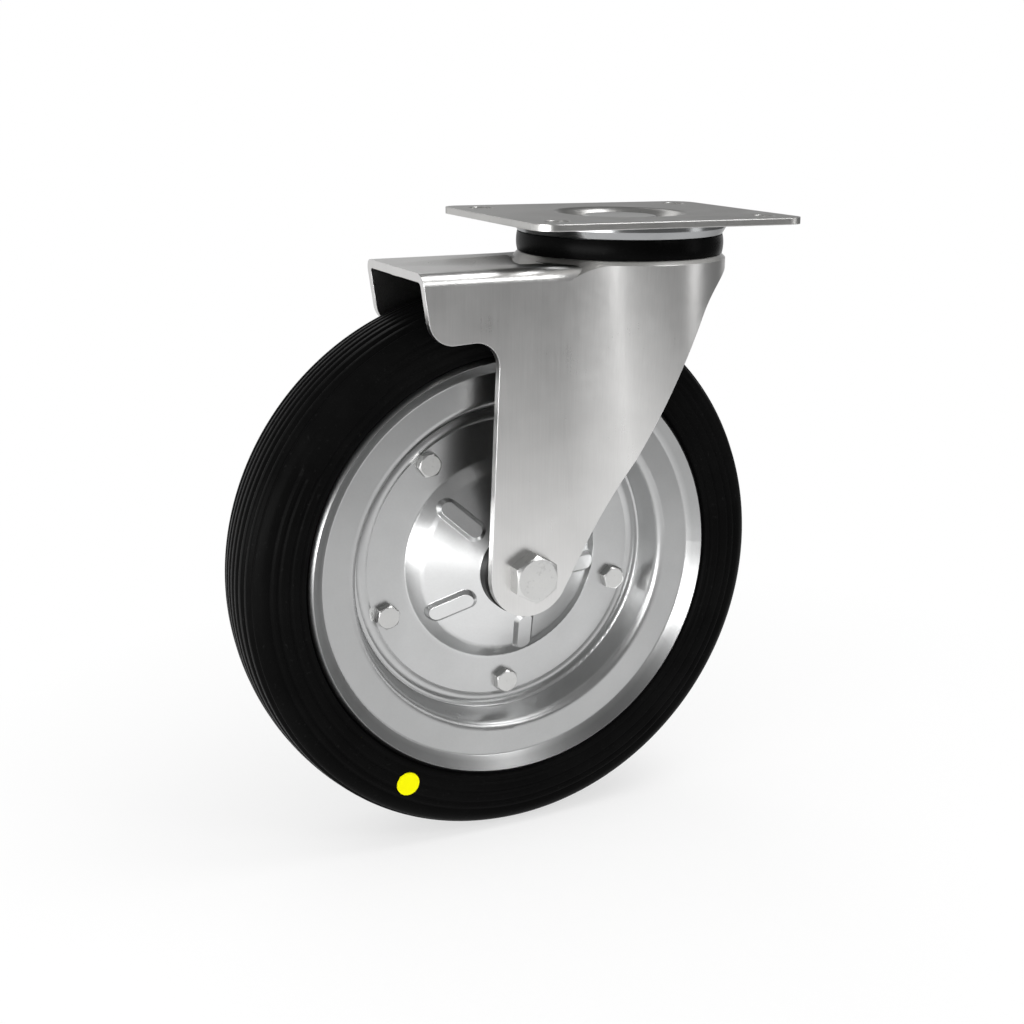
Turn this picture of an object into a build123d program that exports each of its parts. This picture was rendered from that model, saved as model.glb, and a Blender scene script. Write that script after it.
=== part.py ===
from build123d import *
import math
import os

# Swivel castor with a pressed fork, a bolted two-part steel rim and a solid rubber tyre.
# Millimetres. The origin is the centre of the top plate's upper face, on the swivel axis.
# The wheel trails towards -X, its axle lies along Y and the bolt's head is on the -Y side.

os.makedirs("parts", exist_ok=True)

# Overall layout
tyre_radius = 125.0
head_room = 32.5
axle_drop = tyre_radius + head_room
trail = 61.0
sheet = 4.0
touch = 0.05
gap = 0.35

# Top plate, with a pressed dish that sinks the kingpin's head
plate_length = 135.0
plate_width = 110.0
plate_thickness = 3.0
plate_corner_radius = 10.0
plate_hole_spacing_x = 105.0
plate_hole_spacing_y = 80.0
plate_hole_radius = 5.5
dish_depth = 5.0
dish_floor_radius = 25.0
dish_bend_radius = 3.0
dish_wall_slope = 45.0

# Kingpin, which holds the plate and both races together
kingpin_radius = 8.0
kingpin_head_radius = 17.0
kingpin_head_height = 3.6
kingpin_nut_flats = 24.0
kingpin_nut_height = 8.0
kingpin_thread_end = 1.5

# Upper ball race and its seal
head_top = 17.5
upper_race_radius = 49.3
upper_race_band = 2.5
upper_race_taper = 1.8
seal_radius = 47.6
seal_bulge = 0.5
seal_width = 3.0
seal_height = 8.5
upper_ball_radius = 3.5
upper_ball_count = 16
cage_thickness = 2.0
groove_depth = 0.5

# Lower ball race
lower_ball_radius = 2.5
lower_ball_count = 12
lower_race_radius = 25.0
lower_race_thickness = 2.6

# Pressed fork
head_radius = 49.2
head_shoulder = 46.8
head_draft = 2.6
kingpin_hole_radius = 10.5
hood_rear = 111.5
hood_rear_drop = 20.9
hood_slope = 0.6
hood_rear_rake = 8.5
hood_corner_radius = 11.0
hood_bottom = 52.3
hood_bottom_rise = 2.0
hood_edge_radius = 6.0
valley_radius = 86.0
valley_drop = 22.4
valley_climb = 1.2
leg_half_spread = 34.0
leg_foot_radius = 19.0
leg_rear_rake = 2.2
leg_front_slope = 61.6
leg_upper_slope = 63.9
leg_elbow_rise = 49.8
leg_elbow_radius = 200.0
leg_blend_radius = 60.0
arch_drop = 22.6
arch_radius = 38.0

# Axle
axle_radius = 6.0
axle_head_flats = 19.5
axle_head_height = 7.5
axle_head_turn = 30.0
axle_nut_height = 10.0
axle_washer_radius = 12.0
axle_washer_thickness = 2.5
axle_thread_end = 2.5
head_flat_share = 0.94
sleeve_radius = 8.5

# Hub with a caged roller bearing
hub_tube_radius = 16.0
hub_tube_bore = 12.0
hub_end_gap = 3.0
hub_cap_radius = 19.5
hub_cap_wall = 1.5
hub_cap_skirt = 4.5
roller_radius = 1.7
roller_end_gap = 2.4
roller_count = 10
roller_cage_wall = 1.2

# Rim discs, given by the middle of their sheet
rim_sheet = 3.0
rim_lip_radius = 97.3
rim_lip_height = 21.9
rim_flange_outer = 91.3
rim_flange_inner = 77.1
rim_flange_height = 16.2
rim_web_outer = 73.8
rim_web_inner = 47.3
rim_bend_radius = 2.6
dome_knee_radius = 41.0
dome_knee_height = 7.7
dome_knee_bend = 8.0
dome_neck_length = 2.4
dome_neck_gap = 0.2
dome_neck_bend = 1.6
web_ridge_radius = 68.2
web_ridge_width = 5.0
web_ridge_height = 0.6
bead_count = 5
bead_length = 24.5
bead_width = 9.6
bead_height = 1.8
bead_root = 2.0
bead_flank = 40.0
bead_middle_radius = 33.6
bead_phase = 136.5
rim_bolt_count = 5
rim_bolt_circle = 60.2
rim_bolt_phase = 127.2
rim_bolt_radius = 3.0
rim_bolt_flats = 10.0
rim_bolt_head_height = 4.0
rim_nut_height = 5.0
rim_bolt_thread_end = 1.5

# Tyre
tyre_half_width = 24.2
tyre_foot_radius = 79.5
tyre_side_start = 2.1
tyre_side_inner = rim_lip_radius + tyre_side_start
tyre_shoulder = 8.6
tyre_side_outer = tyre_radius - tyre_shoulder
tyre_side_round = 1.0
tyre_shoulder_round = 1.2
tread_half_width = 16.0
tread_crown = 1.5
tread_groove_offset = 14.0
tyre_groove_size = 0.8
side_groove_pitch = 4.65
side_groove_count = 4
plaque_width = 9.6
plaque_margin = 0.4
plaque_radius = tyre_side_outer - plaque_margin - plaque_width / 2
plaque_start = 127.0
plaque_end = 149.0
plaque_height = 0.3
marker_radius = 5.25
marker_thickness = 1.2
marker_margin = 3.35
marker_circle = tyre_side_outer - marker_margin - marker_radius
marker_angle = 239.2

wheel_axis = Axis(origin=(-trail, 0, -axle_drop), direction=(0, 1, 0))
wheel_section = Plane(origin=(-trail, 0, -axle_drop), x_dir=(1, 0, 0), z_dir=(0, 0, 1))


def across_wheel(y):
    """A plane across the wheel's axle at the given y, seen from the bolt head's side."""
    return Plane(origin=(-trail, y, -axle_drop), x_dir=(1, 0, 0), z_dir=(0, -1, 0))


def save(part, name):
    """Labels a finished piece and writes it."""
    part.label = name
    export_step(part, f"parts/{name}.step")


def hexagon(flats):
    """A hexagon given by the width across its flats."""
    return RegularPolygon(radius=flats / 2, side_count=6, major_radius=False)


def bolt_place(y, circle, turn):
    """The plane a bolt's head stands on, turned with its place on a circle about the axle."""
    away = Vector(math.cos(math.radians(turn)), 0, math.sin(math.radians(turn)))
    return Plane(origin=Vector(-trail, y, -axle_drop) + away * circle, x_dir=away, z_dir=(0, -1, 0))


def bolt_head(place, flats, height):
    """A hexagon head on the given plane, its outer corners cut by a 30 degree cone."""
    flat = head_flat_share * flats / 2
    with BuildPart() as head:
        with BuildSketch(place):
            hexagon(flats)
        extrude(amount=height)
        with Locations(place):
            Cone(
                flat + height * math.sqrt(3),
                flat,
                height,
                align=(Align.CENTER, Align.CENTER, Align.MIN),
                mode=Mode.INTERSECT,
            )
    return head.part


# Top plate
dish_run = dish_depth / math.tan(math.radians(dish_wall_slope))
dish_floor = -dish_depth - plate_thickness / 2
dish_cut = dish_floor_radius + dish_run + plate_thickness
with BuildPart() as top_plate:
    with BuildSketch():
        RectangleRounded(plate_length, plate_width, plate_corner_radius)
        Circle(dish_cut, mode=Mode.SUBTRACT)
        with GridLocations(plate_hole_spacing_x, plate_hole_spacing_y, 2, 2):
            Circle(plate_hole_radius, mode=Mode.SUBTRACT)
    extrude(amount=-plate_thickness)
    with BuildSketch(Plane.XZ):
        with BuildLine() as dish_line:
            FilletPolyline(
                (dish_cut, -plate_thickness / 2),
                (dish_floor_radius + dish_run, -plate_thickness / 2),
                (dish_floor_radius, dish_floor),
                (kingpin_radius + touch, dish_floor),
                radius=dish_bend_radius,
            )
        trace(dish_line.line, line_width=plate_thickness)
    revolve(axis=Axis.Z)
save(top_plate.part, "top_plate")

# Upper race, a ring under the plate with a tapered rim and a ball track
seal_top = -head_top + seal_height
seal_bore = seal_radius - seal_width
race_skirt_end = seal_top + gap
upper_ball_z = -head_top + upper_ball_radius - groove_depth
race_face = upper_ball_z + upper_ball_radius - groove_depth
upper_ball_circle = (dish_cut + seal_bore) / 2
with BuildPart() as upper_race:
    with BuildSketch(Plane.XZ):
        with BuildLine():
            Polyline(
                (dish_cut, -plate_thickness),
                (upper_race_radius, -plate_thickness),
                (upper_race_radius, -plate_thickness - upper_race_band),
                (upper_race_radius - upper_race_taper, race_skirt_end),
                (seal_bore - gap, race_skirt_end),
                (seal_bore - gap, race_face),
                (dish_cut, race_face),
                close=True,
            )
        make_face()
        with Locations((upper_ball_circle, upper_ball_z)):
            Circle(upper_ball_radius + 2 * touch, mode=Mode.SUBTRACT)
    revolve(axis=Axis.Z)
save(upper_race.part, "upper_race")

# Upper balls in their cage
with BuildPart() as upper_balls:
    with Locations((0, 0, upper_ball_z)):
        with PolarLocations(upper_ball_circle, upper_ball_count):
            Sphere(upper_ball_radius)
save(upper_balls.part, "upper_balls")

with BuildPart() as upper_cage:
    with BuildSketch(Plane.XY.offset(upper_ball_z - cage_thickness / 2)):
        Circle(seal_bore - 2 * gap)
        Circle(dish_cut + gap, mode=Mode.SUBTRACT)
        with PolarLocations(upper_ball_circle, upper_ball_count):
            Circle(upper_ball_radius + touch, mode=Mode.SUBTRACT)
    extrude(amount=cage_thickness)
save(upper_cage.part, "upper_cage")

# Seal, a soft ring that stands on the fork's head and closes the upper race
with BuildPart() as swivel_seal:
    with BuildSketch(Plane.XZ):
        with BuildLine():
            Polyline(
                (seal_radius, seal_top),
                (seal_bore, seal_top),
                (seal_bore, -head_top),
                (seal_radius, -head_top),
            )
            ThreePointArc(
                (seal_radius, -head_top),
                (seal_radius + seal_bulge, -head_top + seal_height / 2),
                (seal_radius, seal_top),
            )
        make_face()
    revolve(axis=Axis.Z)
save(swivel_seal.part, "swivel_seal")

# Lower balls, which run between the head's underside and the lower race
head_underside = -head_top - sheet
lower_ball_z = head_underside - lower_ball_radius + groove_depth
lower_race_top = lower_ball_z - lower_ball_radius + groove_depth
lower_ball_circle = (kingpin_hole_radius + lower_race_radius) / 2
with BuildPart() as lower_balls:
    with Locations((0, 0, lower_ball_z)):
        with PolarLocations(lower_ball_circle, lower_ball_count):
            Sphere(lower_ball_radius)
save(lower_balls.part, "lower_balls")

with BuildPart() as lower_race:
    with BuildSketch(Plane.XZ):
        with Locations((kingpin_radius + touch, lower_race_top)):
            Rectangle(
                lower_race_radius - kingpin_radius - touch,
                lower_race_thickness,
                align=(Align.MIN, Align.MAX),
            )
        with Locations((lower_ball_circle, lower_ball_z)):
            Circle(lower_ball_radius + 2 * touch, mode=Mode.SUBTRACT)
    revolve(axis=Axis.Z)
save(lower_race.part, "lower_race")

# Kingpin, headed in the plate's dish and nutted under the lower race
nut_top = lower_race_top - lower_race_thickness
kingpin_end = nut_top - kingpin_nut_height - kingpin_thread_end
with BuildPart() as kingpin:
    with BuildSketch(Plane.XY.offset(-dish_depth)):
        Circle(kingpin_head_radius)
    extrude(amount=kingpin_head_height)
    fillet(kingpin.edges().group_by(Axis.Z)[-1], kingpin_head_height / 3)
    with BuildSketch(Plane.XY.offset(-dish_depth)):
        Circle(kingpin_radius)
    extrude(amount=kingpin_end + dish_depth)
    chamfer(kingpin.edges().group_by(Axis.Z)[0], kingpin_thread_end / 2)
save(kingpin.part, "kingpin")

with BuildPart() as kingpin_nut:
    with BuildSketch(Plane.XY.offset(nut_top)):
        hexagon(kingpin_nut_flats)
        Circle(kingpin_radius + touch, mode=Mode.SUBTRACT)
    extrude(amount=-kingpin_nut_height)
save(kingpin_nut.part, "kingpin_nut")


def fork_plan(z, inset):
    """The fork's outline in plan at height z, drawn in by inset."""
    lean = (-z - head_top) * math.tan(math.radians(head_draft))
    radius = head_radius - lean
    blend_y = leg_half_spread + leg_blend_radius
    reach = radius + leg_blend_radius
    blend_run = math.sqrt(reach**2 - blend_y**2)
    blend_x = lean - blend_run
    turn = math.atan2(blend_run, blend_y)
    bend = leg_blend_radius + inset
    wall = radius - inset
    flank = leg_half_spread - inset
    rear = -hood_rear - sheet
    blend_middle = (blend_x + bend * math.sin(turn / 2), blend_y - bend * math.cos(turn / 2))
    meet = (blend_x + bend * math.sin(turn), blend_y - bend * math.cos(turn))
    half_arc = (math.pi / 2 + turn) / 2
    wall_middle = (lean + wall * math.cos(half_arc), wall * math.sin(half_arc))
    with BuildSketch(Plane.XY.offset(z)) as plan:
        with BuildLine() as half:
            Polyline((rear, 0), (rear, flank), (blend_x, flank))
            ThreePointArc((blend_x, flank), blend_middle, meet)
            ThreePointArc(meet, wall_middle, (lean + wall, 0))
            mirror(half.line, about=Plane.XZ)
        make_face()
    return plan.sketch


def fork_skin(inset):
    """The fork filled in as a block, drawn in by inset from its outer skin."""
    foot = -axle_drop - leg_foot_radius - sheet
    with BuildPart() as walls:
        add(fork_plan(foot, inset))
        add(fork_plan(0, inset))
        loft(ruled=True)

    # The round neck, a 45 degree cone under the flat head
    top = -head_top - inset
    top_radius = head_shoulder + inset - inset * math.sqrt(2)
    flare = 3 * sheet
    with BuildPart() as neck:
        with BuildSketch(Plane.XZ):
            with BuildLine():
                Polyline(
                    (0, top),
                    (top_radius, top),
                    (top_radius + flare, top - flare),
                    (0, top - flare),
                    close=True,
                )
            make_face()
        revolve(axis=Axis.Z)
        add(walls.part, mode=Mode.INTERSECT)

    # The hood, which climbs towards the neck with rounded edges and a shallow valley
    rise = math.tan(math.radians(hood_slope))
    rear = -hood_rear - 2 * sheet
    front = 2 * head_radius
    rear_z = -hood_rear_drop - inset + rise * (rear + hood_rear)
    front_z = rear_z + rise * (front - rear)
    shoulder = top - (head_radius - inset - top_radius)
    shoulder_x = rear + (shoulder - rear_z) / rise
    climb = math.radians(valley_climb)
    valley_plane = Plane(
        origin=(-head_shoulder, 0, -valley_drop + valley_radius),
        x_dir=(0, 1, 0),
        z_dir=(-math.cos(climb), 0, math.sin(climb)),
    )
    with BuildPart() as skin:
        add(walls.part)
        with BuildSketch(Plane.XZ):
            with BuildLine():
                Polyline((rear, rear_z), (front, front_z), (front, sheet), (rear, sheet), close=True)
            make_face()
        extrude(amount=front, both=True, mode=Mode.SUBTRACT)
        rim = skin.faces().sort_by(Axis.Z)[-1].edges().sort_by(Axis.X)[1:]
        fillet(rim, hood_edge_radius - inset)
        with BuildSketch(Plane.XZ):
            with Locations((shoulder_x, shoulder)):
                Rectangle(front - shoulder_x, head_top, align=Align.MIN)
        extrude(amount=front, both=True, mode=Mode.SUBTRACT)
        with BuildSketch(valley_plane):
            Circle(valley_radius + inset)
        extrude(amount=hood_rear, mode=Mode.SUBTRACT)
        add(neck.part)
    return skin.part


# Fork, one pressed sheet: its outer skin less the same skin drawn in by the sheet
slope = math.radians(leg_front_slope)
upper_slope = math.radians(leg_upper_slope)
rake = math.radians(leg_rear_rake)
lean_back = math.tan(math.radians(hood_rear_rake))
front_foot = (
    -trail + leg_foot_radius * math.sin(slope),
    -axle_drop - leg_foot_radius * math.cos(slope),
)
rear_foot = (
    -trail - leg_foot_radius * math.cos(rake),
    -axle_drop + leg_foot_radius * math.sin(rake),
)
elbow_z = -axle_drop + leg_elbow_rise
elbow_x = front_foot[0] + (elbow_z - front_foot[1]) / math.tan(slope)
arch_x = elbow_x - (arch_drop + elbow_z) / math.tan(upper_slope)
knee_z = -hood_bottom + hood_bottom_rise
knee_x = rear_foot[0] + (knee_z - rear_foot[1]) * math.tan(rake)
hood_corner_x = -hood_rear + (hood_bottom - hood_rear_drop) * lean_back
hood_top_x = -hood_rear - hood_rear_drop * lean_back
outer_skin = fork_skin(0)
inner_skin = fork_skin(sheet)
with BuildPart() as fork:
    add(outer_skin)
    add(inner_skin, mode=Mode.SUBTRACT)
    with BuildSketch(Plane.XZ):
        with BuildLine():
            FilletPolyline(
                (hood_top_x, 0),
                (hood_corner_x, -hood_bottom),
                (knee_x, knee_z),
                rear_foot,
                radius=hood_corner_radius,
            )
            ThreePointArc(rear_foot, (-trail, -axle_drop - leg_foot_radius), front_foot)
            FilletPolyline(
                front_foot,
                (elbow_x, elbow_z),
                (arch_x, -arch_drop),
                (2 * head_radius, -arch_drop),
                radius=[leg_elbow_radius, arch_radius],
            )
            Polyline((2 * head_radius, -arch_drop), (2 * head_radius, 0), (hood_top_x, 0))
        make_face()
    extrude(amount=2 * leg_half_spread, both=True, mode=Mode.INTERSECT)
    with BuildSketch():
        Circle(kingpin_hole_radius)
    extrude(amount=-axle_drop / 2, mode=Mode.SUBTRACT)
    with BuildSketch(across_wheel(0)):
        Circle(axle_radius + touch)
    extrude(amount=2 * leg_half_spread, both=True, mode=Mode.SUBTRACT)
    with BuildSketch(Plane.XZ):
        with Locations((upper_ball_circle, upper_ball_z)):
            Circle(upper_ball_radius + touch)
        with Locations((lower_ball_circle, lower_ball_z)):
            Circle(lower_ball_radius + touch)
    revolve(axis=Axis.Z, mode=Mode.SUBTRACT)
save(fork.part, "fork")

# Axle bolt from the -Y side, with its washer and nut on the other
grip = leg_half_spread
axle_head = bolt_head(bolt_place(-grip, 0, axle_head_turn), axle_head_flats, axle_head_height)
with BuildPart() as axle_bolt:
    add(axle_head)
    with BuildSketch(across_wheel(-grip)):
        Circle(axle_radius)
    extrude(amount=-2 * grip - axle_washer_thickness - axle_nut_height - axle_thread_end)
    chamfer(axle_bolt.edges().group_by(Axis.Y)[-1], axle_thread_end / 2)
save(axle_bolt.part, "axle_bolt")

with BuildPart() as axle_washer:
    with BuildSketch(across_wheel(grip)):
        Circle(axle_washer_radius)
        Circle(axle_radius + touch, mode=Mode.SUBTRACT)
    extrude(amount=-axle_washer_thickness)
save(axle_washer.part, "axle_washer")

with BuildPart() as axle_nut:
    with BuildSketch(across_wheel(grip + axle_washer_thickness)):
        hexagon(axle_head_flats)
        Circle(axle_radius + touch, mode=Mode.SUBTRACT)
    extrude(amount=-axle_nut_height)
save(axle_nut.part, "axle_nut")

# Sleeve, clamped between the legs, which the rollers run on
sleeve_half = leg_half_spread - sheet
hub_half_length = sleeve_half - hub_end_gap
with BuildPart() as axle_sleeve:
    with BuildSketch(across_wheel(0)):
        Circle(sleeve_radius)
        Circle(axle_radius + touch, mode=Mode.SUBTRACT)
    extrude(amount=sleeve_half, both=True)
save(axle_sleeve.part, "axle_sleeve")

# Rollers in their cage
roller_half_length = hub_half_length - 3 * roller_cage_wall - roller_end_gap
roller_circle = hub_tube_bore - touch - roller_radius
with BuildPart() as rollers:
    with BuildSketch(across_wheel(0)):
        with PolarLocations(roller_circle, roller_count):
            Circle(roller_radius)
    extrude(amount=roller_half_length, both=True)
save(rollers.part, "rollers")

cage_middle = (sleeve_radius + hub_tube_bore) / 2
cage_half_length = roller_half_length + 3 * roller_cage_wall
with BuildPart() as roller_cage:
    with BuildSketch(across_wheel(0)):
        Circle(cage_middle + roller_cage_wall / 2)
        Circle(cage_middle - roller_cage_wall / 2, mode=Mode.SUBTRACT)
    extrude(amount=cage_half_length, both=True)
    with BuildSketch(across_wheel(0)):
        with PolarLocations(cage_middle, roller_count):
            Rectangle(2 * roller_circle, 2 * roller_radius + 2 * touch)
    extrude(amount=roller_half_length + touch, both=True, mode=Mode.SUBTRACT)
save(roller_cage.part, "roller_cage")

# Hub tube and its end caps
with BuildPart() as hub_tube:
    with BuildSketch(across_wheel(0)):
        Circle(hub_tube_radius)
        Circle(hub_tube_bore, mode=Mode.SUBTRACT)
    extrude(amount=hub_half_length, both=True)
save(hub_tube.part, "hub_tube")

cap_face = hub_half_length + hub_cap_wall
with BuildPart() as hub_cap_near:
    with BuildSketch(wheel_section):
        with BuildLine():
            Polyline(
                (hub_tube_radius + touch, -hub_half_length),
                (hub_tube_radius + touch, -hub_half_length + hub_cap_skirt),
                (hub_cap_radius, -hub_half_length + hub_cap_skirt),
                (hub_cap_radius, -cap_face + hub_cap_wall / 2),
                (hub_cap_radius - hub_cap_wall / 2, -cap_face),
                (sleeve_radius + gap, -cap_face),
                (sleeve_radius + gap, -hub_half_length),
                close=True,
            )
        make_face()
    revolve(axis=wheel_axis)
save(hub_cap_near.part, "hub_cap_near")

with BuildPart() as hub_cap_far:
    mirror(hub_cap_near.part, about=Plane.XZ)
save(hub_cap_far.part, "hub_cap_far")

# Rim discs, two equal pressings that meet back to back at the wheel's middle
web_middle = rim_sheet / 2
neck_radius = hub_tube_radius + touch + rim_sheet / 2
dome_neck_height = hub_half_length - hub_cap_skirt - dome_neck_gap - dome_neck_length
dome_slope = math.atan2(dome_neck_height - dome_knee_height, dome_knee_radius - neck_radius)
bead_spread = 2 * bead_root * math.tan(math.radians(bead_flank))
with BuildPart() as rim_disc_near:
    with BuildSketch(wheel_section):
        with BuildLine() as rim_line:
            FilletPolyline(
                (neck_radius, -dome_neck_height - dome_neck_length),
                (neck_radius, -dome_neck_height),
                (dome_knee_radius, -dome_knee_height),
                (rim_web_inner, -web_middle),
                (rim_web_outer, -web_middle),
                (rim_flange_inner, -rim_flange_height),
                (rim_flange_outer, -rim_flange_height),
                (rim_lip_radius, -rim_lip_height),
                radius=[dome_neck_bend, dome_knee_bend] + 4 * [rim_bend_radius],
            )
        trace(rim_line.line, line_width=rim_sheet)
        with BuildLine():
            ThreePointArc(
                (web_ridge_radius - web_ridge_width / 2, -rim_sheet),
                (web_ridge_radius, -rim_sheet - web_ridge_height),
                (web_ridge_radius + web_ridge_width / 2, -rim_sheet),
            )
            Line(
                (web_ridge_radius + web_ridge_width / 2, -rim_sheet),
                (web_ridge_radius - web_ridge_width / 2, -rim_sheet),
            )
        make_face()
    revolve(axis=wheel_axis)
    # Radial beads on the dome
    for k in range(bead_count):
        angle = math.radians(bead_phase + 360 * k / bead_count)
        away = Vector(math.cos(angle), 0, math.sin(angle))
        skin_height = dome_neck_height - (bead_middle_radius - neck_radius) * math.tan(dome_slope)
        skin_height += rim_sheet / 2 / math.cos(dome_slope)
        bead_plane = Plane(
            origin=Vector(-trail, -skin_height, -axle_drop) + away * bead_middle_radius,
            x_dir=away * math.cos(dome_slope) + Vector(0, math.sin(dome_slope), 0),
            z_dir=away * math.sin(dome_slope) - Vector(0, math.cos(dome_slope), 0),
        )
        with BuildSketch(bead_plane.offset(-bead_root)):
            SlotOverall(bead_length + bead_spread, bead_width + bead_spread)
        extrude(amount=bead_root + bead_height, taper=bead_flank)
    with BuildSketch(across_wheel(0)):
        with PolarLocations(rim_bolt_circle, rim_bolt_count, start_angle=rim_bolt_phase):
            Circle(rim_bolt_radius + touch)
    extrude(amount=2 * rim_sheet, mode=Mode.SUBTRACT)
save(rim_disc_near.part, "rim_disc_near")

with BuildPart() as rim_disc_far:
    mirror(rim_disc_near.part, about=Plane.XZ)
save(rim_disc_far.part, "rim_disc_far")

# Rim bolts and nuts
for k in range(rim_bolt_count):
    turn = rim_bolt_phase + 360 * k / rim_bolt_count
    under_head = bolt_place(-rim_sheet, rim_bolt_circle, turn)
    rim_bolt_head = bolt_head(under_head, rim_bolt_flats, rim_bolt_head_height)
    with BuildPart() as rim_bolt:
        add(rim_bolt_head)
        with BuildSketch(under_head):
            Circle(rim_bolt_radius)
        extrude(amount=-2 * rim_sheet - rim_nut_height - rim_bolt_thread_end)
    save(rim_bolt.part, f"rim_bolt_{k + 1}")
    with BuildPart() as rim_nut:
        with BuildSketch(bolt_place(rim_sheet, rim_bolt_circle, turn)):
            hexagon(rim_bolt_flats)
            Circle(rim_bolt_radius + touch, mode=Mode.SUBTRACT)
        extrude(amount=-rim_nut_height)
    save(rim_nut.part, f"rim_nut_{k + 1}")

# Tyre, clamped between the two flanges
flange_face = rim_flange_height - rim_sheet / 2
lip_angle = math.atan2(rim_lip_height - rim_flange_height, rim_lip_radius - rim_flange_outer)
foot_half_width = flange_face - gap / 2
foot_turn = rim_flange_outer + rim_sheet / 2 * math.tan(lip_angle / 2)
lip_end = (
    rim_lip_radius + (rim_sheet / 2 + gap) * math.sin(lip_angle),
    rim_lip_height - (rim_sheet / 2 + gap) * math.cos(lip_angle),
)
side_edge = tyre_half_width - tyre_side_round
side_middle = (tyre_side_inner + tyre_side_outer) / 2
tread_edge = tyre_radius - tread_crown
with BuildPart() as tyre:
    with BuildSketch(wheel_section) as tyre_section:
        with BuildLine() as side_line:
            Polyline(
                (tyre_foot_radius, 0),
                (tyre_foot_radius, foot_half_width),
                (foot_turn, foot_half_width),
                lip_end,
                (tyre_side_inner, side_edge),
            )
            ThreePointArc(
                (tyre_side_inner, side_edge),
                (side_middle, tyre_half_width),
                (tyre_side_outer, side_edge),
            )
            ThreePointArc(
                (tyre_side_outer, side_edge),
                (
                    (tyre_side_outer + tread_edge) / 2 + tyre_shoulder_round,
                    (side_edge + tread_half_width) / 2 + tyre_shoulder_round,
                ),
                (tread_edge, tread_half_width),
            )
            ThreePointArc(
                (tread_edge, tread_half_width),
                (tyre_radius - tread_crown / 4, tread_half_width / 2),
                (tyre_radius, 0),
            )
            Line((tyre_radius, 0), (tyre_foot_radius, 0))
        make_face()
        with Locations((tyre_radius - tread_crown / 2, tread_groove_offset)):
            Circle(tyre_groove_size, mode=Mode.SUBTRACT)
        with GridLocations(side_groove_pitch, 1, side_groove_count, 1):
            with Locations((side_middle + tyre_side_round, tyre_half_width)):
                Circle(tyre_groove_size, mode=Mode.SUBTRACT)
        mirror(about=Plane.XZ)
    revolve(axis=wheel_axis)
    # Bare raised plaques in the side walls
    for side in (-1, 1):
        with BuildSketch(across_wheel(side * side_edge)):
            with BuildLine() as plaque_line:
                CenterArc((0, 0), plaque_radius, plaque_start, plaque_end - plaque_start)
            SlotArc(plaque_line.wire(), plaque_width)
        extrude(amount=-side * (tyre_side_round + plaque_height))
    # Recess for the coloured marker
    marker_seat = tyre_half_width - marker_thickness
    spin = math.radians(marker_angle)
    marker_spot = (marker_circle * math.cos(spin), marker_circle * math.sin(spin))
    with BuildSketch(across_wheel(-marker_seat)):
        with Locations(marker_spot):
            Circle(marker_radius + touch)
    extrude(amount=2 * marker_thickness, mode=Mode.SUBTRACT)
save(tyre.part, "tyre")

with BuildPart() as marker_dot:
    with BuildSketch(across_wheel(-marker_seat)):
        with Locations(marker_spot):
            Circle(marker_radius)
    extrude(amount=marker_thickness)
save(marker_dot.part, "marker_dot")
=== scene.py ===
import bmesh
import bpy
import math
from mathutils import Matrix, Vector


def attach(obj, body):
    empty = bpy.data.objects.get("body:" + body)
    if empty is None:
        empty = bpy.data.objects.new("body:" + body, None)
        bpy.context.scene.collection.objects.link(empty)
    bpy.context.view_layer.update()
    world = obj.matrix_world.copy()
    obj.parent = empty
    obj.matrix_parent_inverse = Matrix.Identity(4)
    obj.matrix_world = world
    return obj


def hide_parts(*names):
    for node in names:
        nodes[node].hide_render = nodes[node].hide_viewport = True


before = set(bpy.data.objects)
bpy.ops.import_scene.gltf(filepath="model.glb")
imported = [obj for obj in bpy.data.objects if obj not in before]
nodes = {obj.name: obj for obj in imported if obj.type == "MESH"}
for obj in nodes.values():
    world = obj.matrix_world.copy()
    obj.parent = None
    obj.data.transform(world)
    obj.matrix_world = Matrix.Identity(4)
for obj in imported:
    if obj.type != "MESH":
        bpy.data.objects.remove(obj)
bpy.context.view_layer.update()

MM = 0.001
AXLE = Vector((-61.0, 0.0, -157.5)) * MM
FLOOR_Z = -0.2826
# The world's light on matt surfaces, and how bright metals see the dark side of the room
AMBIENT = 0.55
ROOM = 0.2

# Noise patterns: scale, detail and roughness
ZINC_CLOUDS = (20.0, 5.0, 0.6)
ZINC_SPECKS = (420.0, 2.0, 0.5)
ZINC_PATCHES = (55.0, 5.0, 0.65)
SHEET_WAVES = (34.0, 2.0, 0.4)
RUBBER_CLOUDS = (26.0, 5.0, 0.62)
RUBBER_SPECKS = (600.0, 2.0, 0.5)
PLASTIC_CLOUDS = (120.0, 4.0, 0.6)
MOULD_GRAIN = (1500.0, 2.0, 0.5)


# Helpers for node trees

def new_material(name):
    mat = bpy.data.materials.new(name)
    mat.use_nodes = True
    tree = mat.node_tree
    tree.nodes.clear()
    out = tree.nodes.new("ShaderNodeOutputMaterial")
    bsdf = tree.nodes.new("ShaderNodeBsdfPrincipled")
    tree.links.new(bsdf.outputs[0], out.inputs[0])
    return mat, tree, bsdf


def feed(tree, socket, value):
    """Set a socket to a number or a colour, or link an output to it."""
    if isinstance(value, (int, float)):
        socket.default_value = value
    elif isinstance(value, tuple):
        socket.default_value = (*value, 1)
    else:
        tree.links.new(value, socket)


def coords(tree, scale=(1, 1, 1), location=(0, 0, 0)):
    tex = tree.nodes.new("ShaderNodeTexCoord")
    mapping = tree.nodes.new("ShaderNodeMapping")
    mapping.inputs["Scale"].default_value = scale
    mapping.inputs["Location"].default_value = location
    tree.links.new(tex.outputs["Object"], mapping.inputs["Vector"])
    return mapping.outputs["Vector"]


def split_vector(tree, vector):
    split = tree.nodes.new("ShaderNodeSeparateXYZ")
    tree.links.new(vector, split.inputs[0])
    return split.outputs


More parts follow.
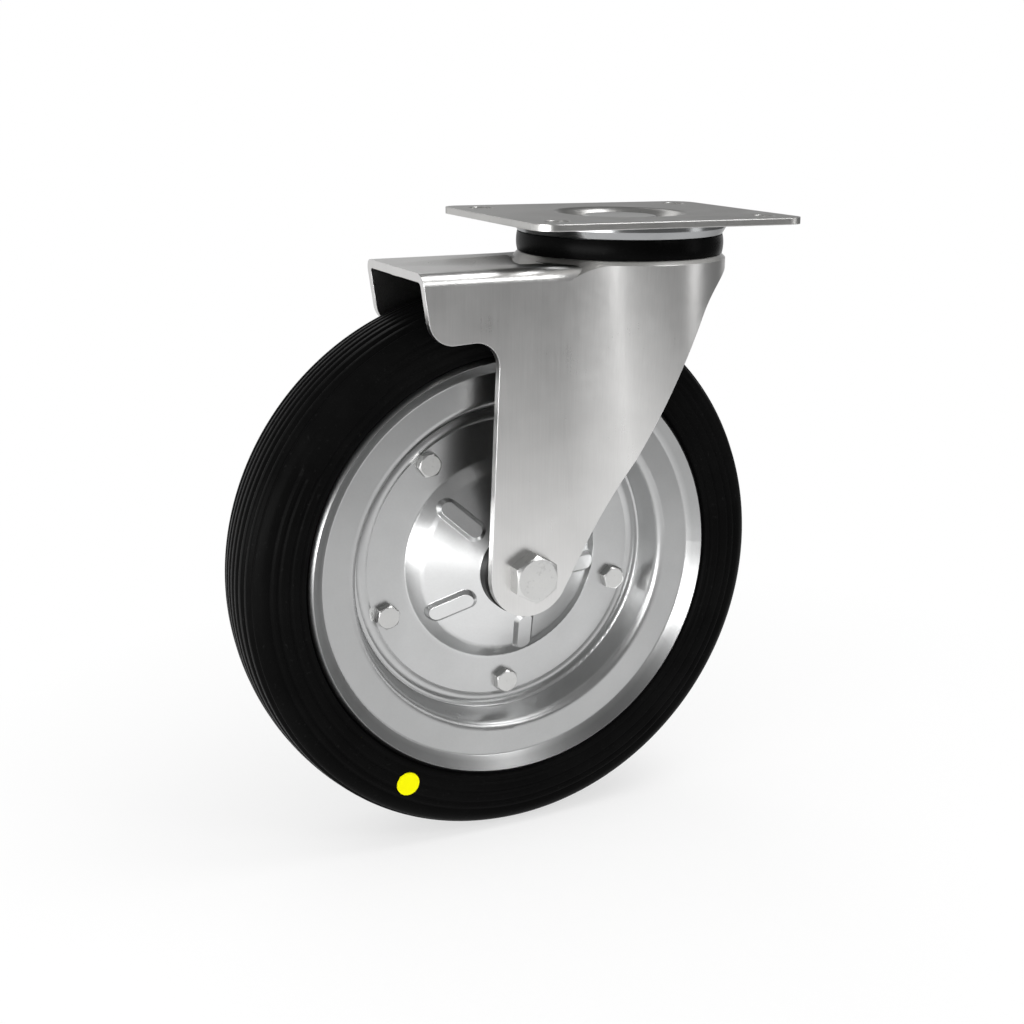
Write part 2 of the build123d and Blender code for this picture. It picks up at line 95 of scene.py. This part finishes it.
def noise(tree, vector, scale, detail, roughness):
    made = tree.nodes.new("ShaderNodeTexNoise")
    made.inputs["Scale"].default_value = scale
    made.inputs["Detail"].default_value = detail
    made.inputs["Roughness"].default_value = roughness
    tree.links.new(vector, made.inputs["Vector"])
    return made.outputs["Fac"]


def maths(tree, operation, *values):
    made = tree.nodes.new("ShaderNodeMath")
    made.operation = operation
    for socket, value in zip(made.inputs, values):
        feed(tree, socket, value)
    return made.outputs[0]


def ramp(tree, value, stops):
    made = tree.nodes.new("ShaderNodeValToRGB")
    while len(made.color_ramp.elements) < len(stops):
        made.color_ramp.elements.new(0.5)
    for element, (place, colour) in zip(made.color_ramp.elements, stops):
        element.position = place
        element.color = (*colour, 1)
    tree.links.new(value, made.inputs[0])
    return made.outputs[0]


def mix(tree, factor, first, second, mode="MIX"):
    made = tree.nodes.new("ShaderNodeMix")
    made.data_type = "RGBA"
    made.blend_type = mode
    for index, value in ((0, factor), (6, first), (7, second)):
        feed(tree, made.inputs[index], value)
    return made.outputs[2]


def spread(tree, value, low, high, from_low=0.0, from_high=1.0):
    """Map a range of values to another one, held at its ends."""
    made = tree.nodes.new("ShaderNodeMapRange")
    made.inputs["From Min"].default_value = from_low
    made.inputs["From Max"].default_value = from_high
    made.inputs["To Min"].default_value = low
    made.inputs["To Max"].default_value = high
    tree.links.new(value, made.inputs["Value"])
    return made.outputs[0]


def bump(tree, height, strength, distance, normal=None):
    made = tree.nodes.new("ShaderNodeBump")
    made.inputs["Strength"].default_value = strength
    made.inputs["Distance"].default_value = distance
    tree.links.new(height, made.inputs["Height"])
    if normal is not None:
        tree.links.new(normal, made.inputs["Normal"])
    return made.outputs[0]


def rounded_edges(tree, radius):
    """The normal with its edges rounded, and how far a point lies on such an edge."""
    bevel = tree.nodes.new("ShaderNodeBevel")
    bevel.samples = 4
    bevel.inputs["Radius"].default_value = radius
    geometry = tree.nodes.new("ShaderNodeNewGeometry")
    dot = tree.nodes.new("ShaderNodeVectorMath")
    dot.operation = "DOT_PRODUCT"
    tree.links.new(bevel.outputs[0], dot.inputs[0])
    tree.links.new(geometry.outputs["Normal"], dot.inputs[1])
    edge = spread(tree, dot.outputs["Value"], 1.0, 0.0, 0.80, 0.99)
    return bevel.outputs[0], edge


def painted_hollow_shade(tree, distance, dark):
    """Painted shade for hollows, where other surfaces lie within a distance."""
    hollow = tree.nodes.new("ShaderNodeAmbientOcclusion")
    hollow.samples = 10
    hollow.inputs["Distance"].default_value = distance
    return spread(tree, hollow.outputs["AO"], dark, 1.0, 0.12, 0.46)


def wheel_radius(tree):
    """A point's distance from the axle, in metres."""
    place = split_vector(tree, coords(tree, location=(-AXLE.x, 0, -AXLE.z)))
    squares = [maths(tree, "MULTIPLY", place[k], place[k]) for k in (0, 2)]
    return maths(tree, "SQRT", maths(tree, "ADD", *squares))


# Materials

def zinc(name, colour, tint, roughness, brush=(1, 1, 1), brush_scale=900.0, wave=0.0, spots=0.15,
         edge=0.0004, grain=0.04, rim_tint=0.6, nook=0.02, nook_painted_dark=0.2, edge_wear_and_highlight_share=0.75,
         rings=None, relief=0.2):
    """Zinc-plated steel: cloudy tint, rolling marks, small dull spots, edges lightened by wear and
    a painted highlight, painted shade in hollows.

    brush stretches the rolling marks, grain is how dark and relief how deep they are. wave,
    edge and nook are metres: the sheet's unevenness, the rounding of its edges and the reach
    of a hollow's painted shade. rings are painted shades at shares of 0.1 m from the axle.
    """
    mat, tree, bsdf = new_material(name)
    place = coords(tree)
    normal, worn = rounded_edges(tree, edge)
    streak = noise(tree, coords(tree, brush), brush_scale, 4.0, 0.65)

    base = ramp(tree, noise(tree, place, *ZINC_CLOUDS), [(0.32, colour), (0.68, tint)])
    low = 1.0 - grain
    streaks = ramp(tree, streak, [(0.30, (low, low, low)), (0.70, (1.0, 1.0, 1.0))])
    base = mix(tree, 1.0, base, streaks, "MULTIPLY")
    speck = spread(tree, noise(tree, place, *ZINC_SPECKS), 0.0, 1.0, 0.62, 0.74)
    dull = tuple(c * 0.80 for c in colour)
    base = mix(tree, maths(tree, "MULTIPLY", speck, spots), base, dull)
    # Edges lightened in the colour: partly edge wear, partly a painted highlight along the cut
    # edges
    edge_wear_and_highlight_colour = tuple(min(1.0, c * 1.35 + 0.12) for c in tint)
    base = mix(tree, maths(tree, "MULTIPLY", worn, edge_wear_and_highlight_share), base, edge_wear_and_highlight_colour)
    # Painted shade in rings: the colour is darkened by the distance from the axle
    if rings:
        painted_ring_shades = ramp(tree, spread(tree, wheel_radius(tree), 0.0, 1.0, 0.0, 0.1), rings)
        base = mix(tree, 1.0, base, painted_ring_shades, "MULTIPLY")
    # Painted shade: the colour is darkened in hollows, corners and near other parts
    base = mix(tree, 1.0, base, painted_hollow_shade(tree, nook, nook_painted_dark), "MULTIPLY")
    tree.links.new(base, bsdf.inputs["Base Color"])

    patch = noise(tree, place, *ZINC_PATCHES)
    rough = spread(tree, patch, roughness - 0.02, roughness + 0.03, 0.3, 0.7)
    rough = maths(tree, "ADD", rough, spread(tree, streak, -0.01, 0.02, 0.3, 0.7))
    tree.links.new(rough, bsdf.inputs["Roughness"])
    bsdf.inputs["Metallic"].default_value = 1.0
    bsdf.inputs["Specular Tint"].default_value = (rim_tint, rim_tint, rim_tint, 1)

    if wave:
        normal = bump(tree, noise(tree, place, *SHEET_WAVES), 0.6, wave, normal)
    normal = bump(tree, streak, relief, 0.00001, normal)
    tree.links.new(normal, bsdf.inputs["Normal"])
    return mat


def rubber(name, colour, dust, roughness, level, rings=0.0):
    """Moulded black rubber: fine grain, faint bloom and, on the tyre, turned marks of the mould."""
    mat, tree, bsdf = new_material(name)
    place = coords(tree)
    cloud = noise(tree, place, *RUBBER_CLOUDS)
    fine = noise(tree, place, *MOULD_GRAIN)
    base = ramp(tree, cloud, [(0.38, colour), (0.78, dust)])
    speck = spread(tree, noise(tree, place, *RUBBER_SPECKS), 0.0, 0.5, 0.66, 0.78)
    base = mix(tree, speck, base, tuple(c * 2.2 + 0.004 for c in dust))
    tree.links.new(base, bsdf.inputs["Base Color"])
    rough = spread(tree, cloud, roughness - 0.05, roughness + 0.09, 0.3, 0.7)
    rough = maths(tree, "ADD", rough, spread(tree, fine, -0.04, 0.04, 0.3, 0.7))
    tree.links.new(rough, bsdf.inputs["Roughness"])
    bsdf.inputs["Specular IOR Level"].default_value = level
    normal = bump(tree, fine, 0.4, 0.00003)
    if rings:
        ring = tree.nodes.new("ShaderNodeTexNoise")
        ring.noise_dimensions = "1D"
        ring.inputs["Scale"].default_value = 1.0
        ring.inputs["Detail"].default_value = 2.0
        tree.links.new(maths(tree, "MULTIPLY", wheel_radius(tree), 900.0), ring.inputs["W"])
        normal = bump(tree, ring.outputs["Fac"], 0.35, rings, normal)
    tree.links.new(normal, bsdf.inputs["Normal"])
    return mat


def plastic(name, colour, roughness, level, worn=None):
    """Moulded plastic or paint, cloudy between its colour and a worn one."""
    mat, tree, bsdf = new_material(name)
    place = coords(tree)
    cloud = noise(tree, place, *PLASTIC_CLOUDS)
    other = worn or tuple(c * 0.8 for c in colour)
    base = ramp(tree, cloud, [(0.35, colour), (0.75, other)])
    tree.links.new(base, bsdf.inputs["Base Color"])
    rough = spread(tree, cloud, roughness - 0.05, roughness + 0.05, 0.3, 0.7)
    tree.links.new(rough, bsdf.inputs["Roughness"])
    bsdf.inputs["Specular IOR Level"].default_value = level
    normal = bump(tree, noise(tree, place, *MOULD_GRAIN), 0.3, 0.00002)
    tree.links.new(normal, bsdf.inputs["Normal"])
    return mat


plate_zinc = zinc(
    "plate_zinc", (0.56, 0.555, 0.54), (0.66, 0.655, 0.64), 0.30,
    wave=0.0004, spots=0.4, edge=0.0007, rim_tint=0.45)
# The fork's hollows get deep painted shade, near black inside the hood
fork_zinc = zinc(
    "fork_zinc", (0.74, 0.735, 0.725), (0.80, 0.795, 0.785), 0.29, (1, 1, 0.03), 1300.0,
    wave=0.0003, spots=0.0, grain=0.05, nook=0.05, nook_painted_dark=0.02, relief=0.06)
race_zinc = zinc(
    "race_zinc", (0.34, 0.345, 0.35), (0.42, 0.425, 0.43), 0.20, (0.05, 0.05, 1), 1200.0)
# Painted shade for the rim: the dome at full colour, the web, flange and lip darker outward
rim_painted_shade_rings = [(radius, (share, share, share)) for radius, share in (
    (0.43, 1.0), (0.50, 0.80), (0.74, 0.80), (0.78, 0.66), (0.91, 0.66), (0.93, 0.50))]
rim_zinc = zinc(
    "rim_zinc", (0.70, 0.705, 0.705), (0.78, 0.785, 0.785), 0.30,
    wave=0.0003, spots=0.05, nook_painted_dark=0.4, edge_wear_and_highlight_share=0.3, rings=rim_painted_shade_rings)
bolt_zinc = zinc(
    "bolt_zinc", (0.62, 0.62, 0.61), (0.74, 0.74, 0.73), 0.31,
    brush_scale=1500.0, spots=0.5, edge=0.0003, nook=0.0015, nook_painted_dark=0.3)
ball_steel = zinc(
    "ball_steel", (0.62, 0.62, 0.63), (0.70, 0.70, 0.71), 0.12, brush_scale=2000.0)
tyre_rubber = rubber(
    "tyre_rubber", (0.003, 0.003, 0.003), (0.0055, 0.0055, 0.0055), 0.36, 0.02, rings=0.0002)
seal_rubber = rubber(
    "seal_rubber", (0.0015, 0.0015, 0.0015), (0.003, 0.003, 0.003), 0.28, 0.03)
black_plastic = plastic("black_plastic", (0.006, 0.006, 0.006), 0.40, 0.2)
cage_plastic = plastic("cage_plastic", (0.05, 0.045, 0.04), 0.5, 0.5)
marker_paint = plastic("marker_paint", (1.0, 0.97, 0.0), 0.55, 0.1, worn=(0.97, 0.92, 0.0))

# The rim bolts and nuts, which aren't named here, get the bolts' zinc too
looks = {
    "top_plate": plate_zinc, "upper_race": race_zinc, "kingpin": bolt_zinc,
    "kingpin_nut": bolt_zinc, "lower_race": race_zinc, "fork": fork_zinc,
    "swivel_seal": seal_rubber, "upper_balls": ball_steel, "lower_balls": ball_steel,
    "upper_cage": cage_plastic, "axle_bolt": bolt_zinc, "axle_nut": bolt_zinc,
    "axle_washer": bolt_zinc, "axle_sleeve": ball_steel, "hub_tube": rim_zinc,
    "rollers": ball_steel, "roller_cage": cage_plastic, "hub_cap_near": black_plastic,
    "hub_cap_far": black_plastic, "rim_disc_near": rim_zinc, "rim_disc_far": rim_zinc,
    "tyre": tyre_rubber, "marker_dot": marker_paint,
}
for name, obj in nodes.items():
    for slot in obj.material_slots:
        slot.material = looks.get(name, bolt_zinc)


# Tyre: the same section as the solid, with its tread ribs, side grooves and bare plaque.
# Sizes are millimetres, places in the section are radius and half width.

TURNS = 440
SEAT = [(91.9, 14.5), (95.2, 17.5), (98.55, 20.55)]
BORE, BORE_HALF = 80.0, 14.4
SIDE_IN, SIDE_OUT = 99.4, 116.4
SIDE_FACE, SIDE_EDGE = 24.2, 23.2
TREAD_EDGE, TREAD_MIDDLE, TREAD_TOP = (123.5, 16.0), (124.625, 8.0), (125.0, 0.0)
SHOULDER_BULGE = 1.2

# Side grooves: radius and half width. Tread grooves: place across, half width and depth.
SIDE_GROOVES = ((115.0, 1.35), (111.6, 1.35), (106.5, 1.45), (101.6, 1.45))
SIDE_DEPTH = 0.75
SIDE_FROM_HALF, SIDE_TO_RADIUS, TREAD_FROM_RADIUS = 22.9, 118.5, 118.0
TREAD_GROOVES = ((18.7, 1.7, 1.2), (13.4, 2.0, 1.3), (7.6, 1.8, 0.8), (2.6, 1.7, 0.7))

# The far plaque mirrors the near one, at this sum of their angles
PLAQUE_RADIUS, PLAQUE_HALF, PLAQUE_HEIGHT, PLAQUE_SLOPE = 111.2, 4.8, 0.28, 1.0
PLAQUE_FROM, PLAQUE_TO, PLAQUE_MIRROR = (math.radians(v) for v in (127.0, 149.0, 276.0))
PLAQUE_FROM_HALF = 22.5

MARKER_RADIUS, MARKER_REACH, MARKER_SLOPE, MARKER_DEPTH = 107.8, 6.2, 0.8, 0.35
MARKER_ANGLE = math.radians(239.2)


def arc_points(first, middle, last, count):
    """Points along the arc through three points."""
    (x0, y0), (x1, y1), (x2, y2) = first, middle, last
    d = 2 * (x0 * (y1 - y2) + x1 * (y2 - y0) + x2 * (y0 - y1))
    a, b, c = x0 * x0 + y0 * y0, x1 * x1 + y1 * y1, x2 * x2 + y2 * y2
    cx = (a * (y1 - y2) + b * (y2 - y0) + c * (y0 - y1)) / d
    cy = (a * (x2 - x1) + b * (x0 - x2) + c * (x1 - x0)) / d
    size = math.hypot(x0 - cx, y0 - cy)
    start = math.atan2(y0 - cy, x0 - cx)
    sweep = math.remainder(math.atan2(y2 - cy, x2 - cx) - start, 2 * math.pi)
    steps = [start + sweep * k / count for k in range(count + 1)]
    return [(cx + size * math.cos(s), cy + size * math.sin(s)) for s in steps]


def tyre_outline():
    """One half of the section, from the seat on the rim to the middle of the tread."""
    side = arc_points(
        (SIDE_IN, SIDE_EDGE), ((SIDE_IN + SIDE_OUT) / 2, SIDE_FACE), (SIDE_OUT, SIDE_EDGE), 44)
    bulge = [(a + b) / 2 + SHOULDER_BULGE for a, b in zip((SIDE_OUT, SIDE_EDGE), TREAD_EDGE)]
    shoulder = arc_points((SIDE_OUT, SIDE_EDGE), bulge, TREAD_EDGE, 26)
    tread = arc_points(TREAD_EDGE, TREAD_MIDDLE, TREAD_TOP, 40)
    # The points next to the corner between side and shoulder are left out, which softens it
    return SEAT + side[:-2] + shoulder[2:] + tread[1:]


def dip(distance, half_width, depth):
    """Depth of a rounded groove at a distance from its middle."""
    if abs(distance) >= half_width:
        return 0.0
    return depth * (0.5 + 0.5 * math.cos(math.pi * distance / half_width))


def slope(inside, width):
    """0 to 1 over a width."""
    return min(max(inside / width, 0.0), 1.0)


def tyre_section():
    """Outline points as radius, half width, sideways groove and outward groove."""
    section = []
    for r, y in tyre_outline():
        sideways = outward = 0.0
        if y > SIDE_FROM_HALF and r < SIDE_TO_RADIUS:
            sideways = sum(dip(r - place, half, SIDE_DEPTH) for place, half in SIDE_GROOVES)
        if r > TREAD_FROM_RADIUS:
            outward = sum(dip(y - place, half, depth) for place, half, depth in TREAD_GROOVES)
        section.append((r, y, sideways, outward))
    return section


def plaque(r, angle):
    """How far a point lies inside the plaque, from 0 outside to 1 inside."""
    clamped = min(max(angle, PLAQUE_FROM), PLAQUE_TO)
    along = (angle - clamped) * PLAQUE_RADIUS
    away = PLAQUE_HALF - math.hypot(r - PLAQUE_RADIUS, along)
    return slope(away + PLAQUE_SLOPE / 2, PLAQUE_SLOPE)


def marker_recess(r, angle):
    """Depth of the round recess under the yellow marker."""
    gap = math.hypot(
        r * math.cos(angle) - MARKER_RADIUS * math.cos(MARKER_ANGLE),
        r * math.sin(angle) - MARKER_RADIUS * math.sin(MARKER_ANGLE))
    return MARKER_DEPTH * slope(MARKER_REACH - gap, MARKER_SLOPE)


def tyre_point(r, y, sideways, outward, angle):
    """A point of the tyre; the section's positive widths lie on the near side, toward -Y."""
    near = y > 0
    level = plaque(r, angle if near else PLAQUE_MIRROR - angle)
    depth = sideways * (1.0 - level)
    if near:
        depth = max(depth, marker_recess(r, angle))
    raised = PLAQUE_HEIGHT * level if abs(y) > PLAQUE_FROM_HALF else 0.0
    width = math.copysign(abs(y) - depth + raised, y) if y else 0.0
    reach = r - outward
    return AXLE + Vector((reach * math.cos(angle), -width, reach * math.sin(angle))) * MM


def build_tyre():
    section = tyre_section()
    ring = section + [(r, -y, s, o) for r, y, s, o in reversed(section[:-1])]
    ring += [(BORE, -BORE_HALF, 0, 0), (BORE, BORE_HALF, 0, 0)]
    count = len(ring)
    points, faces = [], []
    for k in range(TURNS):
        angle = 2 * math.pi * k / TURNS
        points += [tyre_point(*place, angle) for place in ring]
        here, following = k * count, (k + 1) % TURNS * count
        for j in range(count):
            after = (j + 1) % count
            faces.append((here + j, here + after, following + after, following + j))
    mesh = bpy.data.meshes.new("tyre_ribbed")
    mesh.from_pydata(points, [], faces)
    mesh.update()
    work = bmesh.new()
    work.from_mesh(mesh)
    bmesh.ops.recalc_face_normals(work, faces=work.faces)
    work.to_mesh(mesh)
    work.free()
    for face in mesh.polygons:
        face.use_smooth = True
    obj = bpy.data.objects.new("tyre_ribbed", mesh)
    bpy.context.scene.collection.objects.link(obj)
    mesh.materials.append(tyre_rubber)
    return obj


tyre = build_tyre()
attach(tyre, "wheel")
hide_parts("tyre")


# Floor and world: white for the camera, even light on the object, and for glossy rays
# a white backdrop with a darker room on the camera's side, on the right and overhead

def blend(tree, factor, first, second):
    made = tree.nodes.new("ShaderNodeMixShader")
    for socket, value in zip(made.inputs, (factor, first, second)):
        tree.links.new(value, socket)
    return made.outputs[0]


def glow(tree, kind, strength):
    """A white emission or background of a given strength."""
    made = tree.nodes.new(kind)
    made.inputs["Color"].default_value = (1, 1, 1, 1)
    feed(tree, made.inputs["Strength"], strength)
    return made.outputs[0]


def by_ray(tree, lighting, seen, mirrored):
    """One shader to light the object, one for camera and transmission rays, one for glossy rays."""
    path = tree.nodes.new("ShaderNodeLightPath")
    direct = maths(
        tree, "MAXIMUM", path.outputs["Is Camera Ray"], path.outputs["Is Transmission Ray"])
    return blend(tree, path.outputs["Is Glossy Ray"], blend(tree, direct, lighting, seen), mirrored)


def on_camera_side(tree, x, y):
    """0 behind the castor and 1 on the camera's side of it."""
    slanted = maths(tree, "SUBTRACT", y, maths(tree, "MULTIPLY", x, 0.6))
    return spread(tree, slanted, 1.0, 0.0, -0.40, 0.10)


FLOOR_SIZE = 60.0
FLOOR_LIGHT = 0.42
SHADOW_FADES = (0.20, 0.45)
DARK_FLOOR = (0.60, 1.25)
DARK_SKY = (0.08, 0.34)

mesh = bpy.data.meshes.new("floor")
half = FLOOR_SIZE / 2
corners = ((-half, -half), (half, -half), (half, half), (-half, half))
mesh.from_pydata([(x, y, FLOOR_Z) for x, y in corners], [], [(0, 1, 2, 3)])
floor = bpy.data.objects.new("floor", mesh)
bpy.context.scene.collection.objects.link(floor)

mat, tree, bsdf = new_material("floor_white")
bsdf.inputs["Base Color"].default_value = (0.60, 0.60, 0.60, 1)
bsdf.inputs["Roughness"].default_value = 0.9
bsdf.inputs["Specular IOR Level"].default_value = 0.0
shadowed = tree.nodes.new("ShaderNodeAddShader")
tree.links.new(bsdf.outputs[0], shadowed.inputs[0])
tree.links.new(glow(tree, "ShaderNodeEmission", FLOOR_LIGHT), shadowed.inputs[1])
tex = tree.nodes.new("ShaderNodeTexCoord")
length = tree.nodes.new("ShaderNodeVectorMath")
length.operation = "LENGTH"
tree.links.new(tex.outputs["Object"], length.inputs[0])
away = length.outputs["Value"]
x, y, _ = split_vector(tree, tex.outputs["Object"])
rightward = maths(tree, "ADD", away, maths(tree, "MULTIPLY", x, 0.3))
far_dim = spread(tree, rightward, 0.0, 1.0, *DARK_FLOOR)
dim = maths(tree, "MULTIPLY", on_camera_side(tree, x, y), far_dim)
seen = blend(
    tree, spread(tree, away, 0.0, 1.0, *SHADOW_FADES),
    shadowed.outputs[0], glow(tree, "ShaderNodeEmission", 1.0))
mirrored = glow(tree, "ShaderNodeEmission", spread(tree, dim, 1.0, ROOM))
out = next(n for n in tree.nodes if n.type == "OUTPUT_MATERIAL")
tree.links.new(by_ray(tree, bsdf.outputs[0], seen, mirrored), out.inputs[0])
mesh.materials.append(mat)

world = bpy.data.worlds.new("studio")
bpy.context.scene.world = world
world.use_nodes = True
tree = world.node_tree
tree.nodes.clear()
out = tree.nodes.new("ShaderNodeOutputWorld")
tex = tree.nodes.new("ShaderNodeTexCoord")
x, y, z = split_vector(tree, tex.outputs["Generated"])
overhead = spread(tree, z, 0.0, 1.0, *DARK_SKY)
dim = maths(tree, "MAXIMUM", on_camera_side(tree, x, y), overhead)
lighting = glow(tree, "ShaderNodeBackground", AMBIENT)
seen = glow(tree, "ShaderNodeBackground", 1.0)
mirrored = glow(tree, "ShaderNodeBackground", spread(tree, dim, 1.0, ROOM))
tree.links.new(by_ray(tree, lighting, seen, mirrored), out.inputs[0])


# Lamps: direction from the castor, distance, width, height in metres, and brightness

SOFTBOXES = {
    "right": ((0.85, -0.50, 0.10), 1.3, 0.32, 0.90, 1.4),
    "key": ((0.45, -0.75, 0.50), 1.4, 0.40, 0.40, 5.5),
    "left": ((-0.85, -0.50, 0.02), 0.9, 0.80, 0.28, 7.0),
    "back": ((0.05, 0.80, 0.55), 1.5, 0.90, 0.60, 1.3),
    "top": ((0.42, -0.22, 0.87), 1.3, 0.60, 0.60, 4.0),
}
LAMPS_AIM = Vector((-0.05, 0.0, -0.12))

for name, (toward, distance, width, height, brightness) in SOFTBOXES.items():
    light = bpy.data.lights.new(name, "AREA")
    light.shape = "RECTANGLE"
    light.size = width
    light.size_y = height
    light.energy = brightness * math.pi * width * height
    obj = bpy.data.objects.new(name, light)
    bpy.context.scene.collection.objects.link(obj)
    spot = LAMPS_AIM + Vector(toward).normalized() * distance
    obj.location = spot
    obj.rotation_euler = (LAMPS_AIM - spot).to_track_quat("-Z", "Y").to_euler()


# Camera, as fitted to the photograph

AZIMUTH, ELEVATION, ROLL = (math.radians(v) for v in (-28.88, 11.9, 1.03))
CAMERA_DISTANCE = 0.71654
TARGET = Vector((-2.39, 0.0, -94.6)) * MM
PICTURE = 1024
FOCAL_PIXELS = 1508.77
SHIFT_PIXELS = -100.0

back = Vector((
    math.sin(AZIMUTH) * math.cos(ELEVATION),
    -math.cos(AZIMUTH) * math.cos(ELEVATION),
    math.sin(ELEVATION),
))
right = Vector((math.cos(AZIMUTH), math.sin(AZIMUTH), 0))
up = back.cross(right)
across = right * math.cos(ROLL) + up * math.sin(ROLL)
above = up * math.cos(ROLL) - right * math.sin(ROLL)
place = TARGET + back * CAMERA_DISTANCE
camera_data = bpy.data.cameras.new("camera")
camera_data.sensor_width = 36.0
camera_data.lens = FOCAL_PIXELS / PICTURE * camera_data.sensor_width
camera_data.shift_x = SHIFT_PIXELS / PICTURE
camera_data.shift_y = SHIFT_PIXELS / PICTURE
camera_data.clip_start = 0.01
camera = bpy.data.objects.new("camera", camera_data)
bpy.context.scene.collection.objects.link(camera)
camera.matrix_world = Matrix((
    (across.x, above.x, back.x, place.x),
    (across.y, above.y, back.y, place.y),
    (across.z, above.z, back.z, place.z),
    (0, 0, 0, 1),
))
bpy.context.scene.camera = camera
bpy.context.scene.view_settings.view_transform = "Standard"
